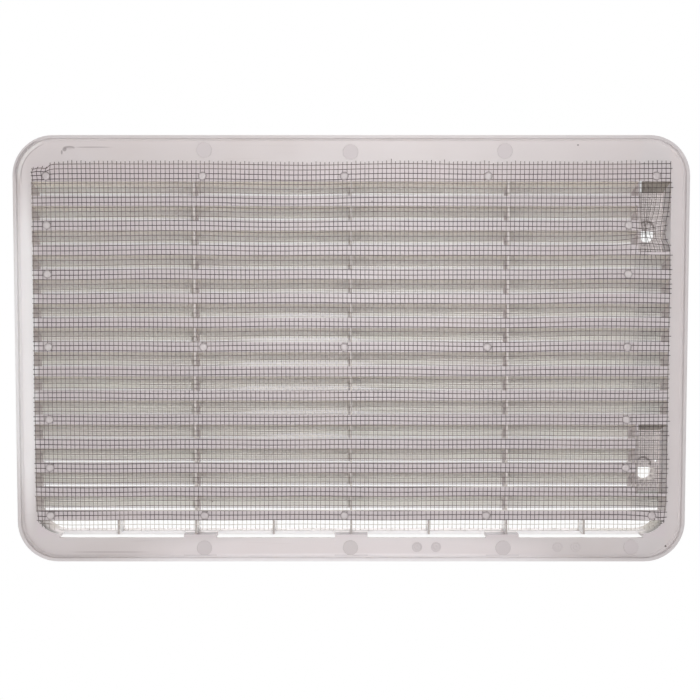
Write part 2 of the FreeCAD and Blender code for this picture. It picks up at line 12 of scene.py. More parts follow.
import bpy
import numpy as np
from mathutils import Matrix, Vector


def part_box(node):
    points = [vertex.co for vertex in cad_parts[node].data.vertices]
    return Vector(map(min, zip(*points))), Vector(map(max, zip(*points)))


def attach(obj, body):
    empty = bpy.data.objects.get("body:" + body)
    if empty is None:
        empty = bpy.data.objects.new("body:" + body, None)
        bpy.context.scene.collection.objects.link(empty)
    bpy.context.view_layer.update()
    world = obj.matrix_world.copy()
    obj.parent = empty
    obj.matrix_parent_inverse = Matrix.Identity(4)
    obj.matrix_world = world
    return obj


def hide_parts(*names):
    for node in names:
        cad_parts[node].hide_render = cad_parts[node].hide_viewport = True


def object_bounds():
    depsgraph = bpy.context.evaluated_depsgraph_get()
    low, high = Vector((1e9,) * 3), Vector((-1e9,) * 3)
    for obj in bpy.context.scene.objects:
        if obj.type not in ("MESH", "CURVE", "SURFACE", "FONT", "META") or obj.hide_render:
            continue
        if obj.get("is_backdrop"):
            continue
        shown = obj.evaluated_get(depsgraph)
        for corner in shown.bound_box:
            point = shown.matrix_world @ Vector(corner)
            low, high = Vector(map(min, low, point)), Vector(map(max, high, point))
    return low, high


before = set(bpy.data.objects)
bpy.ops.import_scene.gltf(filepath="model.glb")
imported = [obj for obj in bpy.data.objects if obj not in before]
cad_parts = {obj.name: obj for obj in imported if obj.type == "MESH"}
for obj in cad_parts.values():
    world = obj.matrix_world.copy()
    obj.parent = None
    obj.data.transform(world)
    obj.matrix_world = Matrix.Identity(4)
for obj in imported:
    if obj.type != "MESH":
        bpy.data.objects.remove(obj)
cad_low, cad_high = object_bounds()
MM = 0.001
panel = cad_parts["louvre_panel"]
screen_low, screen_high = (np.array(corner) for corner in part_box("insect_screen"))
print("panel, mm:", [round((high - low) / MM, 1) for low, high in zip(cad_low, cad_high)])
print("screen, mm:", np.round((screen_high - screen_low) / MM, 1).tolist())

# %% [markdown]
# ## Sizes that the finish follows
#
# The frame gives boxes, but dirt and dust follow the louvres, so the driving
# sizes of the moulding are named here in metres. Z is up. Y runs from the rim's
# back edge, which is nearest to us, out through the louvres to the weather.

# %% Driving sizes
RIM_DEPTH = 5.0 * MM
WEB_WALL = 2.0 * MM
HOOD_DEPTH = 20.0 * MM
LIP_BACK = RIM_DEPTH + HOOD_DEPTH
FIELD_HALF = 229.2 * MM
FIELD_TOP = 121.1 * MM
PITCH = 17.5 * MM
WEB_HEIGHT = 7.0 * MM
LOUVRES = 14
LAST_WEB = FIELD_TOP - LOUVRES * PITCH
SILL_TOP = LAST_WEB - 10.5 * MM
POCKET_LEFT = FIELD_HALF - 21.2 * MM
print("last web ends, mm:", round(LAST_WEB / MM, 1), "sill:", round(SILL_TOP / MM, 1))

# %% [markdown]
# ## The camera
#
# The photograph was taken from 0.75 m, a little above the middle of the panel,
# and tilted down by under three degrees. That is why the top edge looks longer
# than the bottom one, and why light shows through the lowest louvres only. The
# camera comes first, because a place that is read off the photograph is turned
# into metres by the same few numbers.

# %% Camera
CAMERA_PLACE = (-0.9 * MM, -745.0 * MM, 36.0 * MM)
CAMERA_TILT = math.radians(2.75)
CAMERA_LENS = 53.5
SENSOR_WIDTH = 36.0
IMAGE_WIDTH = 700
FOCAL_PIXELS = CAMERA_LENS / SENSOR_WIDTH * IMAGE_WIDTH

lens = bpy.data.cameras.new("camera")
lens.lens = CAMERA_LENS
lens.sensor_fit = "HORIZONTAL"
lens.sensor_width = SENSOR_WIDTH
camera = bpy.data.objects.new("camera", lens)
camera.location = CAMERA_PLACE
camera.rotation_euler = (math.pi / 2 - CAMERA_TILT, 0.0, 0.0)
bpy.context.scene.collection.objects.link(camera)
bpy.context.scene.camera = camera


def seen_at(column, row, depth):
    """The x and z of a pixel of the photograph on the upright plane y = depth: the pixel's
    ray is turned down by the camera's tilt and followed until it meets the plane."""
    across = (column - IMAGE_WIDTH / 2) / FOCAL_PIXELS
    down = (row - IMAGE_WIDTH / 2) / FOCAL_PIXELS
    forward = math.cos(CAMERA_TILT) - down * math.sin(CAMERA_TILT)
    drop = math.sin(CAMERA_TILT) + down * math.cos(CAMERA_TILT)
    reach = (depth - CAMERA_PLACE[1]) / forward
    return CAMERA_PLACE[0] + across * reach, CAMERA_PLACE[2] - drop * reach


print("outline's right side at its top and foot, mm:",
      [round(seen_at(column, row, 0.0)[0] / MM, 1) for column, row in ((688, 180), (682, 500))])

# %% [markdown]
# ## A helper for nodes
#
# Every material below is a small network of shader nodes. One function adds a
# node with its settings and its inputs, where an input is either a plain value
# or the output of a node that was made before. Colours are written as the hex
# codes that a colour picker shows, and one function turns them to linear light.

# %% Nodes helper
def linear(code):
    """A colour written as an sRGB hex code, as linear red, green and blue, and alpha."""
    parts = np.array([int(code[start:start + 2], 16) / 255 for start in (0, 2, 4)])
    curve = np.where(parts <= 0.04045, parts / 12.92, ((parts + 0.055) / 1.055) ** 2.4)
    return (*curve.tolist(), 1.0)


def add_node(tree, kind, settings=None, inputs=None):
    """Adds a node, sets its own properties, and gives each named or numbered input
    a value or a link from another node's output."""
    node = tree.nodes.new(kind)
    for name, value in (settings or {}).items():
        setattr(node, name, value)
    for name, value in (inputs or {}).items():
        if isinstance(value, bpy.types.NodeSocket):
            tree.links.new(value, node.inputs[name])
        else:
            node.inputs[name].default_value = value
    return node


def new_material(name):
    """A material with an empty node tree."""
    material = bpy.data.materials.new(name)
    material.use_nodes = True
    material.node_tree.nodes.clear()
    return material


# %% [markdown]
# ## Light, floor and background
#
# The panel stood in a bright white room. A small hard flash beside the lens, to
# its right and above it, throws a crisp shadow of the cloth on everything behind
# it: that is why the wires look doubled in the two deep pockets. Soft light comes
# from the lower left, and a white backdrop shines back through the louvres and
# makes their thin lips glow. The floor and backdrop are plain white to the
# camera and to rays that mirror or pass through, with the Light Path node, so
# the picture's white never depends on more light on the object.

# %% Lamps
bpy.context.scene.view_settings.view_transform = "Standard"

LAMPS = {
    # The place, the target and the width in metres, the power in watts, and the colour.
    "camera_flash": ((0.059, -0.745, 0.098), (0.0, 0.0, 0.0), 0.006, 3.1, "FFFFFF"),
    "key_softbox": ((-0.80, -1.10, -0.50), (0.0, 0.0, 0.0), 0.80, 4.9, "FFFFFF"),
    "backdrop_glow": ((0.0, 0.80, 0.70), (0.0, 0.0, 0.0), 1.60, 16.0, "FFFFFF"),
    "backdrop_foot": ((0.0, 1.10, -0.35), (0.0, 0.0, -0.05), 1.20, 5.0, "FFFFFF"),
}


def place_lamp(name, place, target, width, watts, colour):
    """A square soft lamp that looks from its place towards a target."""
    data = bpy.data.lights.new(name, "AREA")
    data.size = width
    data.energy = watts
    data.color = linear(colour)[:3]
    lamp = bpy.data.objects.new(name, data)
    lamp.location = place
    ahead = np.array(target) - np.array(place)
    level = math.hypot(ahead[0], ahead[1])
    nod = math.pi / 2 + math.atan2(ahead[2], level)
    turn = math.atan2(ahead[1], ahead[0]) - math.pi / 2
    lamp.rotation_euler = (nod, 0.0, turn)
    bpy.context.scene.collection.objects.link(lamp)


for lamp_name, lamp_settings in LAMPS.items():
    place_lamp(lamp_name, *lamp_settings)
print("lamps:", ", ".join(LAMPS))


# %% World and floor
WORLD_STRENGTH = 0.22
FLOOR_HEIGHT = -0.60
FLOOR_HALF = 6.0


def white_where_seen(tree):
    """One for a camera, glossy or see-through ray, and nothing for the rest."""
    path = add_node(tree, "ShaderNodeLightPath").outputs
    either = add_node(tree, "ShaderNodeMath", {"operation": "MAXIMUM"},
                      {0: path["Is Camera Ray"], 1: path["Is Glossy Ray"]})
    return add_node(tree, "ShaderNodeMath", {"operation": "MAXIMUM"},
                    {0: either.outputs[0], 1: path["Is Transmission Ray"]}).outputs[0]


world = bpy.data.worlds.new("white_room")
bpy.context.scene.world = world
world.use_nodes = True
tree = world.node_tree
tree.nodes.clear()
room = add_node(tree, "ShaderNodeBackground", None, {"Color": linear("F6F3F5"), "Strength": WORLD_STRENGTH})
backdrop = add_node(tree, "ShaderNodeBackground", None, {"Color": (1.0, 1.0, 1.0, 1.0), "Strength": 1.0})
blend = add_node(tree, "ShaderNodeMixShader", None,
                 {0: white_where_seen(tree), 1: room.outputs[0], 2: backdrop.outputs[0]})
add_node(tree, "ShaderNodeOutputWorld", None, {"Surface": blend.outputs[0]})

floor_paint = new_material("white_studio_floor")
tree = floor_paint.node_tree
paint = add_node(tree, "ShaderNodeBsdfDiffuse", None, {"Color": linear("EFEEEE")})
glow = add_node(tree, "ShaderNodeEmission", None, {"Color": (1.0, 1.0, 1.0, 1.0), "Strength": 1.0})
blend = add_node(tree, "ShaderNodeMixShader", None,
                 {0: white_where_seen(tree), 1: paint.outputs[0], 2: glow.outputs[0]})
add_node(tree, "ShaderNodeOutputMaterial", None, {"Surface": blend.outputs[0]})

floor_mesh = bpy.data.meshes.new("floor")
floor_corners = [(-FLOOR_HALF, -FLOOR_HALF, FLOOR_HEIGHT), (FLOOR_HALF, -FLOOR_HALF, FLOOR_HEIGHT),
                 (FLOOR_HALF, FLOOR_HALF, FLOOR_HEIGHT), (-FLOOR_HALF, FLOOR_HALF, FLOOR_HEIGHT)]
floor_mesh.from_pydata(floor_corners, [], [(0, 1, 2, 3)])
floor_mesh.materials.append(floor_paint)
floor = bpy.data.objects.new("floor", floor_mesh)
bpy.context.scene.collection.objects.link(floor)
floor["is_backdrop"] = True
print("floor's width and height, mm:", round(2 * FLOOR_HALF / MM), round(FLOOR_HEIGHT / MM))

# %% [markdown]
# ## The plastic: moulded white ABS, soiled
#
# ABS straight from a satin mould is an even, slightly warm white with a soft sheen. Thin walls of it let
# some light through. Years on a wall changed it where air goes through: the hoods' insides carry a beige
# film near the webs and a greenish one further out, which is painted lighter than the plastic as painted
# light, dust lies on every ledge, and the flat flange has smears and a few dark specks. Painted light and
# painted shade are laid on too: a paler left side of the flange, glowing lips and slot ends, and shaded
# corners and pocket ceilings. All of it is worked out from the place of a point and the way its surface
# faces, so nothing has to be painted by hand.

# %% Colours of the plastic
ABS_WHITE = "D6D0D0"
ABS_WARM = "D2CBCA"
ABS_UNDER_CLOTH = "D6CDCF"
# The film inside the hoods: the tint of dirt, painted lighter than the plastic as painted light.
FILM_AND_LIGHT_BEIGE = "F0EADE"
FILM_AND_LIGHT_GREEN = "E4E5DF"
# Painted light: the glow of the lips and of faces lit from behind.
LIP_GLOW_WHITE = "F2F3F4"
GLOW_WHITE = "FAFAFA"
DUST_BROWN = "8E8375"
SPECK_BROWN = "5F554C"
SMEAR_GREY = "A79C9D"
# Painted shade, for the pockets' ceilings and the pan's lower corners.
SHADE_BROWN = "857A69"
print("film on the hoods, from the web to the lip:", FILM_AND_LIGHT_BEIGE, FILM_AND_LIGHT_GREEN, LIP_GLOW_WHITE)

# %% [markdown]
# ## Shares and tints
#
# A finish is built as a painter works: a ground colour, and thin coats over it,
# each with a share that says where it lies and how strongly. A share is a number
# from nothing to one. The product of two shares is where both hold, and a tint
# lays one colour on another by a share.

# %% Shares and tints
def smooth_share(tree, value, low, high):
    """How far a value has gone from low to high, from nothing to one, with soft ends."""
    return add_node(tree, "ShaderNodeMapRange", {"interpolation_type": "SMOOTHSTEP"},
                    {"Value": value, "From Min": low, "From Max": high}).outputs[0]


def times(tree, *values):
    """The product of several values."""
    product = values[0]
    for value in values[1:]:
        node = add_node(tree, "ShaderNodeMath", {"operation": "MULTIPLY"}, {0: product, 1: value})
        product = node.outputs[0]
    return product


def tint(tree, share, under, over):
    """The colour over laid on the colour under, by a share from nothing to one. The node
    also mixes numbers, so its sockets for colours are counted and not named."""
    return add_node(tree, "ShaderNodeMix", {"data_type": "RGBA"}, {0: share, 6: under, 7: over}).outputs[2]


# %% [markdown]
# ## Patterns on a place
#
# The marks need only a few shapes: a cloud, an oval, a ring, a band and the steps of
# the louvres. Each is worked out from Object coordinates, so it stays at its place on
# the moulding, whichever way the camera looks.

# %% Patterns on a place
def cloudy(tree, place, spacing, detail=3.0, stretch=(1.0, 1.0, 1.0)):
    """Values from nothing to one in clouds about as wide as spacing, in metres, times the
    stretch: noise on the place, scaled by one over that width."""
    scale = tuple(1.0 / (spacing * reach) for reach in stretch)
    scaled = add_node(tree, "ShaderNodeMapping", None, {"Vector": place, "Scale": scale}).outputs[0]
    return add_node(tree, "ShaderNodeTexNoise", None,
                    {"Vector": scaled, "Scale": 1.0, "Detail": detail, "Roughness": 0.55}).outputs["Fac"]


def oval(tree, place, column, row, depth, wide, tall, strength):
    """The strength inside an upright oval whose middle is a pixel of the photograph, and
    nothing outside: the length of the place, less the middle and divided by the oval's
    half width and half height, goes from soft at one to full at 0.55."""
    x, z = seen_at(column, row, depth * MM)
    wide, tall = wide * MM, tall * MM
    from_middle = add_node(tree, "ShaderNodeMapping", None,
                           {"Vector": place, "Location": (-x / wide, 0.0, -z / tall),
                            "Scale": (1 / wide, 0.0, 1 / tall)})
    reach = add_node(tree, "ShaderNodeVectorMath", {"operation": "LENGTH"}, {0: from_middle.outputs[0]})
    return times(tree, smooth_share(tree, reach.outputs["Value"], 1.0, 0.55), strength)


def ring_line(tree, place, middle, radius, thickness):
    """One on a thin ring round a middle, whose x and z are in metres: where the distance
    from the middle differs from the radius by less than the thickness, both of them in
    millimetres."""
    x, z = middle
    from_middle = add_node(tree, "ShaderNodeMapping", None,
                           {"Vector": place, "Location": (-x, 0.0, -z), "Scale": (1.0, 0.0, 1.0)})
    reach = add_node(tree, "ShaderNodeVectorMath", {"operation": "LENGTH"}, {0: from_middle.outputs[0]})
    off = add_node(tree, "ShaderNodeMath", {"operation": "SUBTRACT"},
                   {0: reach.outputs["Value"], 1: radius * MM})
    gap = add_node(tree, "ShaderNodeMath", {"operation": "ABSOLUTE"}, {0: off.outputs[0]})
    return smooth_share(tree, gap.outputs[0], thickness * MM, 0.3 * thickness * MM)


def band(tree, value, low, high, soft):
    """One between low and high, and nothing outside, with edges softened by soft."""
    above = smooth_share(tree, value, low - soft, low)
    below = smooth_share(tree, value, high + soft, high)
    return times(tree, above, below)


def louvre_step(tree, height):
    """Where a height lies in its louvre, from nothing at the hood's root to one at the
    web's foot: the part after the point of the distance below the field's top, divided
    by the pitch."""
    down = add_node(tree, "ShaderNodeMath", {"operation": "MULTIPLY_ADD"},
                    {0: height, 1: -1 / PITCH, 2: 20 + FIELD_TOP / PITCH}).outputs[0]
    return add_node(tree, "ShaderNodeMath", {"operation": "FRACT"}, {0: down}).outputs[0]


# %% [markdown]
# ## Marks and painted light on the flange
#
# A mark is read off the photograph as a pixel, and the camera's numbers turn it into a place on the
# moulding. The flange has a ragged smudge with a long scratch beside it at the upper left, and a few
# specks. Painted light lies on it too: a paler left side and a paler lower edge and lower rim, where the
# light falls more strongly, and round the upper left corner a painted highlight between two dark lines of
# painted shade. The weather side has none of these, so they end just inside the plate.

# %% Marks and painted light on the flange
# The column and row of the middle in the photograph, the depth of the surface there, half
# the width and half the height, these three in millimetres, the strength, and the colour.
FLANGE_MARKS_AND_LIGHT = (
    # Painted light: a paler left side, where the light falls more strongly, and a painted highlight along
    # the lower edge.
    (26, 352, 5, 10.0, 148.0, 0.95, "F1EEEE"),
    (350, 551, 5, 175.0, 16.0, 0.50, "EFE8E9"),
    (69, 147.6, 5, 5.0, 1.5, 0.60, "8B8183"),
    (64.5, 149.4, 5, 1.8, 1.7, 0.60, "8B8183"),
    (61.7, 152.3, 5, 0.8, 1.9, 0.60, "8B8183"),
    (70, 148.6, 5, 3.4, 0.9, 0.70, "D6D0D0"),
    (93, 147.2, 5, 16.0, 0.6, 0.45, "958B8D"),
    (578, 145, 5, 0.8, 0.8, 0.80, "7A7073"),
    (665.5, 546, 5, 0.9, 0.9, 0.85, "6A6062"),
    (110, 552, 5, 34.0, 0.8, 0.40, "A79C9D"),
    # Painted light: a paler band on the lower rim, which faces up to the lamps.
    (350, 557.5, 4, 210.0, 3.4, 0.70, "F6F1F2"),
)
# A painted highlight round the upper left corner, between two dark lines of painted shade.
FILLET_SHINE_MIDDLE = (-212.0 * MM, 124.0 * MM)
FILLET_SHINE_REACH = (28, 160, 5, 17.0, 20.0, 1.0)
# The radius and half the thickness in millimetres, the strength, and the colour.
FILLET_SHINE_LINES = ((25.9, 1.3, 0.60, "F1EFED"), (27.2, 0.6, 0.65, "857B7E"), (24.5, 0.5, 0.45, "857B7E"))


def flange_marks_and_light(tree, place, axes, colour):
    """The colour with the flange's marks and painted light laid on it: ovals of dirt and of painted light,
    and thin rings of painted highlight and painted shade that show only inside one oval. All of them fade
    out just behind the plate's back face."""
    on_back = smooth_share(tree, axes[1], RIM_DEPTH + 0.8 * MM, RIM_DEPTH + 0.3 * MM)
    for *spot, paint in FLANGE_MARKS_AND_LIGHT:
        colour = tint(tree, times(tree, oval(tree, place, *spot), on_back), colour, linear(paint))
    near_corner = times(tree, oval(tree, place, *FILLET_SHINE_REACH), on_back)
    for radius, thickness, strength, paint in FILLET_SHINE_LINES:
        line = ring_line(tree, place, FILLET_SHINE_MIDDLE, radius, thickness)
        colour = tint(tree, times(tree, line, near_corner, strength), colour, linear(paint))
    return colour


print("marks on the flange:", len(FLANGE_MARKS_AND_LIGHT) + len(FILLET_SHINE_LINES))

# %% [markdown]
# ## Tints, painted shade and painted light in the latch pockets
#
# The two deep pockets at the right get their own tints. Their ceilings, which face down, are darkened by
# painted shade, their floors, which are upright plates, are cleaner, and their right walls are painted
# light, so that they show no shade. A dark arc above each latch hole is a painted shadow of the recess's
# upper edge. The back edge of the wall beside a pocket is greyed where the cloth rubs it, and its top end
# in the upper pocket is painted white, a painted glow of the light that comes through the wall.

# %% Tints, painted shade and painted light in the latch pockets
POCKET_CEILINGS = (FIELD_TOP, FIELD_TOP - 10 * PITCH)
POCKET_DROP = 52.0 * MM
WALL_EDGE_DROP = 50.5 * MM
WALL_EDGE_WHITE = 8.5 * MM
LATCH_MIDDLE = FIELD_HALF - 11.7 * MM
LATCH_ARC_DROP = 32.4 * MM
LATCH_ARC_RADIUS = 5.3
POCKET_PLATE = "E6DDDC"
POCKET_WALL_LIGHT = "F2EEEE"
WALL_EDGE_GREY = "A0968F"
LATCH_ARC_SHADOW = "6F6562"


def pocket_marks_and_light(tree, place, axes, faces, inside, colour):
    """The colour with the pockets' own tints, painted shade and painted light: each is the share of the
    pocket's space times the share of the faces that look one way, with painted shade on the ceilings and
    painted light on the right walls. The arc of painted shadow is the upper part of a ring round the latch
    hole, and the wall's edge is a narrow upright band at the very back, with a painted glow at its top end."""
    facing_back = smooth_share(tree, faces[1], -0.7, -0.9)
    facing_left = smooth_share(tree, faces[0], -0.6, -0.9)
    facing_down = smooth_share(tree, faces[2], -0.5, -0.8)
    past_wall = smooth_share(tree, axes[0], POCKET_LEFT, POCKET_LEFT + 0.3 * MM)
    wall_edge = times(tree, band(tree, axes[0], POCKET_LEFT - 1.6 * MM, POCKET_LEFT + 0.1 * MM, 0.2 * MM),
                      smooth_share(tree, axes[1], RIM_DEPTH + 0.4 * MM, RIM_DEPTH + 0.1 * MM))
    for ceiling in POCKET_CEILINGS:
        in_pocket = times(tree, past_wall, inside,
                          band(tree, axes[2], ceiling - POCKET_DROP, ceiling + 0.2 * MM, 0.4 * MM))
        # The plates get their own tone, the right walls are painted light, and the ceilings get painted
        # shade.
        for share, strength, paint in ((facing_back, 0.8, POCKET_PLATE), (facing_left, 0.8, POCKET_WALL_LIGHT),
                                       (facing_down, 0.6, SHADE_BROWN)):
            colour = tint(tree, times(tree, in_pocket, share, strength), colour, linear(paint))
        # The arc is a painted shadow under the upper edge of the recess.
        arc_middle = ceiling - LATCH_ARC_DROP
        arc = ring_line(tree, place, (LATCH_MIDDLE, arc_middle), LATCH_ARC_RADIUS, 1.1)
        upper = smooth_share(tree, axes[2], arc_middle - 1.5 * MM, arc_middle)
        marking_share = times(tree, in_pocket, facing_back, arc, upper, 0.75)
        colour = tint(tree, marking_share, colour, linear(LATCH_ARC_SHADOW))
        beside = band(tree, axes[2], ceiling - WALL_EDGE_DROP, ceiling - WALL_EDGE_WHITE, 0.4 * MM)
        colour = tint(tree, times(tree, wall_edge, beside, 0.5), colour, linear(WALL_EDGE_GREY))
    # The top end of the wall's edge is painted white, a painted glow of light through the wall.
    top_end = times(tree, wall_edge, band(tree, axes[2], FIELD_TOP - WALL_EDGE_WHITE, FIELD_TOP, 0.2 * MM))
    return tint(tree, top_end, colour, linear(GLOW_WHITE))


print("pocket ceilings, mm:", [round(ceiling / MM, 1) for ceiling in POCKET_CEILINGS])

# %% [markdown]
# ## The window, the pan's corners and the sill
# Below the last web the pan is open, with short ribs across the gap. Their sides are painted white, a
# painted glow of the light that shines past them, and their back edges are painted dark grey. The pan's two
# lower corners are darkened with painted shade, which lies in a dark line along each corner's curve. On the
# sill, the lands between the slots and the strip beyond the slots are grey, and the slots' far ends are
# painted white, a painted glow of the light from behind.

# %% Marks of the window, the corners and the sill
# These are given as the flange's marks are.
PAN_MARKS_AND_SHADE = (
    # The first two darken the lower corners as painted shade; the third is beige dirt.
    (42, 524, 14, 13.0, 11.0, 0.85, "A0938A"),
    (657, 527, 16, 13.0, 10.0, 0.90, SHADE_BROWN),
    (606, 530, 20, 30.0, 2.4, 0.50, "A39A88"),
)
WINDOW_HALF = 200.0 * MM
RIB_BACK = 6.2 * MM
PAN_CORNER = 18.0 * MM
SLOT_LANDS = ((-11.85 * MM, 11.85 * MM), (98.15 * MM, 121.85 * MM))
LAND_END = 12.0 * MM
SLOT_END = 16.3 * MM
RIB_BACK_GREY = "766D6A"
CORNER_SHADE = "5A5048"
LAND_GREY = "857A7E"
SLOT_STRIP_GREY = "837B79"


def pan_marks_and_light(tree, place, axes, faces, to_side, inside, colour):
    """The colour with the marks, painted shade and painted light of the pan's lower part. Each share is a
    box of soft bands in x, y and z, or an oval, and where one way of facing counts, a share of that; a
    corner's line of painted shade is the outer lower part of a ring with the corner's own radius."""
    facing_back = smooth_share(tree, faces[1], -0.7, -0.9)
    facing_up = smooth_share(tree, faces[2], 0.5, 0.9)
    aside = add_node(tree, "ShaderNodeMath", {"operation": "ABSOLUTE"}, {0: faces[0]}).outputs[0]
    facing_aside = smooth_share(tree, aside, 0.7, 0.9)
    for *spot, paint in PAN_MARKS_AND_SHADE:
        colour = tint(tree, times(tree, oval(tree, place, *spot), inside), colour, linear(paint))

    in_window = times(tree, inside, band(tree, axes[0], -WINDOW_HALF, WINDOW_HALF, 1 * MM),
                      band(tree, axes[2], SILL_TOP + 0.3 * MM, SILL_TOP + 10.2 * MM, 0.3 * MM))
    rib_back = times(tree, in_window, facing_back,
                     smooth_share(tree, axes[1], RIB_BACK + 0.4 * MM, RIB_BACK))
    # The ribs' sides are painted white, a painted glow of the light that shines past them.
    colour = tint(tree, times(tree, in_window, facing_aside), colour, linear(GLOW_WHITE))
    colour = tint(tree, rib_back, colour, linear(RIB_BACK_GREY))

    # A dark line of painted shade along each lower corner's curve.
    for corner in (-FIELD_HALF + PAN_CORNER, FIELD_HALF - PAN_CORNER):
        arc = ring_line(tree, place, (corner, SILL_TOP + PAN_CORNER), PAN_CORNER / MM, 1.2)
        low = times(tree, smooth_share(tree, axes[2], SILL_TOP + 17 * MM, SILL_TOP + 12 * MM),
                    smooth_share(tree, axes[1], 14 * MM, 8 * MM))
        beyond = smooth_share(tree, axes[0], corner, corner + math.copysign(6 * MM, corner))
        colour = tint(tree, times(tree, arc, low, beyond, inside, 0.85), colour, linear(CORNER_SHADE))

    on_sill = times(tree, smooth_share(tree, axes[2], SILL_TOP + 1.0 * MM, SILL_TOP + 0.5 * MM), facing_up)
    for start, end in SLOT_LANDS:
        land = times(tree, on_sill, band(tree, to_side, start, end, 0.4 * MM),
                     band(tree, axes[1], RIM_DEPTH, LAND_END, 0.6 * MM), 0.8)
        colour = tint(tree, land, colour, linear(LAND_GREY))
    beyond_slots = times(tree, on_sill, band(tree, axes[1], SLOT_END, SLOT_END + 3.1 * MM, 0.4 * MM), 0.65)
    colour = tint(tree, beyond_slots, colour, linear(SLOT_STRIP_GREY))
    # The slots' far ends are painted white, a painted glow of the light from behind.
    slot_end = times(tree, band(tree, axes[1], SLOT_END - 0.3 * MM, SLOT_END + 0.2 * MM, 0.2 * MM),
                     smooth_share(tree, axes[2], SILL_TOP + 0.1 * MM, SILL_TOP - 0.1 * MM))
    return tint(tree, slot_end, colour, linear(GLOW_WHITE))


print("sill's top, mm:", round(SILL_TOP / MM, 1), "lands between slots:", 2 * len(SLOT_LANDS) - 1)

# %% [markdown]
# ## Film on the hoods
#
# Air leaves a thin film inside each hood, beige near the web and greenish further out, and it is painted
# lighter than the plastic, as painted light in the hoods' shade. The lip's back face is painted white from
# a certain line downwards, a painted glow of the light from behind. In the upper louvres that line lies
# higher than in the lower ones, and it lies highest in a patch of painted glare left of the middle, where
# the lips look brightest.

# %% Film and painted glow on the hoods
LIP_LINE_STEP = 0.59
LIP_LINE_TURN = 1.52
LIP_LINE_LAST = 0.66
# The column and row of the middle, the depth, and half the width and height, as above.
# A patch of painted glare on the lips.
LIP_GLARE_PATCH = (305, 378, 20, 62.0, 70.0)
PATCH_LIFT = 0.12


def hood_film_and_glow(tree, place, axes, faces, inside, cover, colour):
    """The colour with the film, painted lighter than the plastic, laid over what faces into the moulding,
    and with the lips' painted glow. The painted white starts at a step of the louvre that grows as z falls,
    up to a last value, less a lift inside the patch of painted glare, and it lies where the louvre's step
    is past that start."""
    inward = smooth_share(tree, faces[1], 0.05, -0.15)
    far = smooth_share(tree, axes[1], RIM_DEPTH + 0.25 * HOOD_DEPTH, RIM_DEPTH + 0.6 * HOOD_DEPTH)
    sloped = add_node(tree, "ShaderNodeMath", {"operation": "MULTIPLY_ADD"},
                      {0: axes[2], 1: -LIP_LINE_TURN, 2: LIP_LINE_STEP})
    limited = add_node(tree, "ShaderNodeMath", {"operation": "MINIMUM"},
                       {0: sloped.outputs[0], 1: LIP_LINE_LAST})
    lifted = add_node(tree, "ShaderNodeMath", {"operation": "SUBTRACT"},
                      {0: limited.outputs[0], 1: oval(tree, place, *LIP_GLARE_PATCH, PATCH_LIFT)})
    past_start = add_node(tree, "ShaderNodeMath", {"operation": "SUBTRACT"},
                          {0: louvre_step(tree, axes[2]), 1: lifted.outputs[0]})
    at_lip = times(tree, smooth_share(tree, axes[1], LIP_BACK - 0.4 * MM, LIP_BACK - 0.1 * MM),
                   smooth_share(tree, past_start.outputs[0], -0.04, 0.0))
    coat = tint(tree, far, linear(FILM_AND_LIGHT_BEIGE), linear(FILM_AND_LIGHT_GREEN))
    # The lips' back faces are painted white, a painted glow.
    coat = tint(tree, at_lip, coat, linear(LIP_GLOW_WHITE))
    return tint(tree, times(tree, inside, inward, cover), colour, coat)


# The middle of the patch of painted glare.
patch_middle = seen_at(*LIP_GLARE_PATCH[:2], LIP_BACK)
print("washed patch's middle, mm:", [round(value / MM, 1) for value in patch_middle])

# %% [markdown]
# ## Dust, smears and specks
#
# Dust settles only on what faces up, and only inside the moulding, in clouds a few
# millimetres wide. Smears are the same kind of cloud drawn out to long thin
# streaks. Specks come from a pattern of cells: each cell has one nearest point, and
# a dark dot is put on it where the cell's own random number is high enough.

# %% Dust, smears and specks
SPECK_CELL = 17 * MM


def loose_dirt(tree, place, faces, inside, clouds, film, colour):
    """The colour with three kinds of dirt laid on it: dust by the share that faces up
    times the share of dense grains, smears by streaks times clouds, and specks by the
    distance from a cell's point, in about a quarter of the cells."""
    upward = smooth_share(tree, faces[2], 0.3, 0.9)
    grains = cloudy(tree, place, 6 * MM, 6.0, (2.0, 1.0, 1.0))
    dusty = times(tree, upward, inside, smooth_share(tree, grains, 0.35, 0.7), 0.55 * film)
    colour = tint(tree, dusty, colour, linear(DUST_BROWN))

    streaks = cloudy(tree, place, 3 * MM, 4.0, (22.0, 1.0, 1.0))
    smears = times(tree, smooth_share(tree, streaks, 0.60, 0.78),
                   smooth_share(tree, clouds, 0.45, 0.62), 0.30)
    colour = tint(tree, smears, colour, linear(SMEAR_GREY))

    cells = add_node(tree, "ShaderNodeTexVoronoi", None, {"Vector": place, "Scale": 1 / SPECK_CELL}).outputs
    dot = smooth_share(tree, cells["Distance"], 0.040, 0.022)
    number = add_node(tree, "ShaderNodeSeparateColor", None, {"Color": cells["Color"]}).outputs[0]
    speck = times(tree, dot, smooth_share(tree, number, 0.72, 0.76), 0.75)
    return tint(tree, speck, colour, linear(SPECK_BROWN))


print("a speck's width, mm:", round(2 * 0.040 * SPECK_CELL / MM, 1))

# %% [markdown]
# ## The whole finish
#
# The coats go on in the order in which time put them there, with painted light and shade among them: the
# clouded white of the plastic, the shade under the cloth, the film, which is painted lighter than the
# plastic as painted light, the loose dirt, and last the marks, painted light and painted shade of single
# places. ABS has an IOR of 1.54 and is no metal. The mould's satin face left a fine grain on its skin,
# drawn 0.7 mm wide, coarser than the real one, so that it shows, and shrinking left slow waves of 28 mm.
# They make highlights soft and a little uneven. Some light comes from inside the plastic, but none from the
# pockets' plates, which look solid and darker in the photograph.

# %% Soiled white ABS with painted light and shade
ABS_IOR = 1.54
STEEP_GREY = "8A8081"


